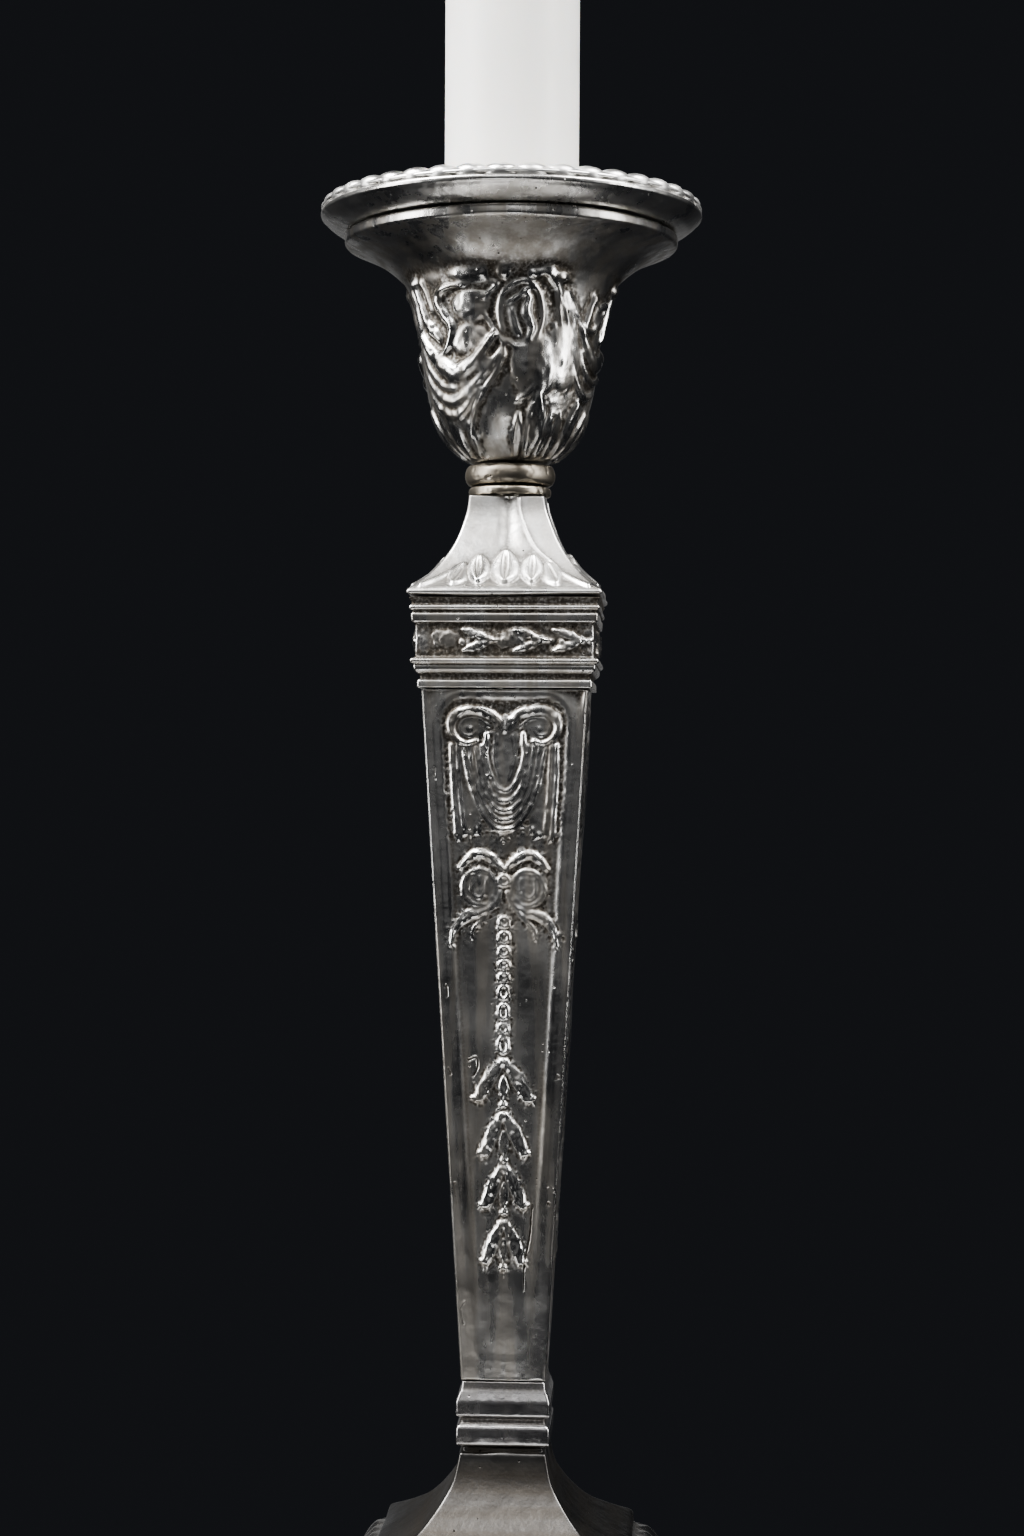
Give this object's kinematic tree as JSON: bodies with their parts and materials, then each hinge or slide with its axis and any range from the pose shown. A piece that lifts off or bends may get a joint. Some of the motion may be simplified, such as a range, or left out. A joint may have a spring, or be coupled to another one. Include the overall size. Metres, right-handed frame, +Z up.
{
  "type": "candlestick",
  "caption": "Neoclassical silver-plated table candlestick with a tapering square column, a loaded square foot, a vase-shaped socket, a lift-out nozzle and a plain white candle.",
  "frame": {"origin": "middle of the felt's underside, on the surface that the candlestick stands on", "axes": "+Z up along the candle, -Y towards the viewer at the front face, +X to the viewer's right"},
  "size_m": [0.122, 0.122, 0.3748],
  "materials": {
    "silver_plate": "polished",
    "dull_silver": "satin",
    "steel": "satin",
    "iron": "matte",
    "felt": "matte",
    "wax": "satin",
    "wick": "matte"
  },
  "bodies": {
    "stick": {"felt_pad": "felt", "closing_plate": "steel", "foot": "silver_plate", "foot_border": "silver_plate", "foot_cushion": "silver_plate", "foot_neck": "silver_plate", "foot_weight": "iron", "column_collar": "silver_plate", "column_plate_front": "silver_plate", "column_plate_right": "silver_plate", "column_plate_back": "silver_plate", "column_plate_left": "silver_plate", "frieze_block": "silver_plate", "shoulder": "silver_plate", "neck_ferrule": "dull_silver", "knop_ring": "dull_silver", "socket_bell": "silver_plate", "tie_rod": "steel", "socket_washer": "steel", "socket_nut": "steel", "foot_washer": "steel", "foot_nut": "steel", "upper_centring_plate": "steel", "lower_centring_plate": "steel"},
    "nozzle": {"drip_pan": "silver_plate", "pan_border": "silver_plate", "candle_tube": "silver_plate"},
    "candle": {"candle": "wax", "wick": "wick"}
  },
  "joints": [
    {"name": "nozzle_lift", "type": "slide", "parent": "stick", "child": "nozzle", "axis": [0, 0, 1], "range_m": [0, 0.04]},
    {"name": "candle_lift", "type": "slide", "parent": "nozzle", "child": "candle", "axis": [0, 0, 1], "range_m": [0, 0.04]}
  ]
}
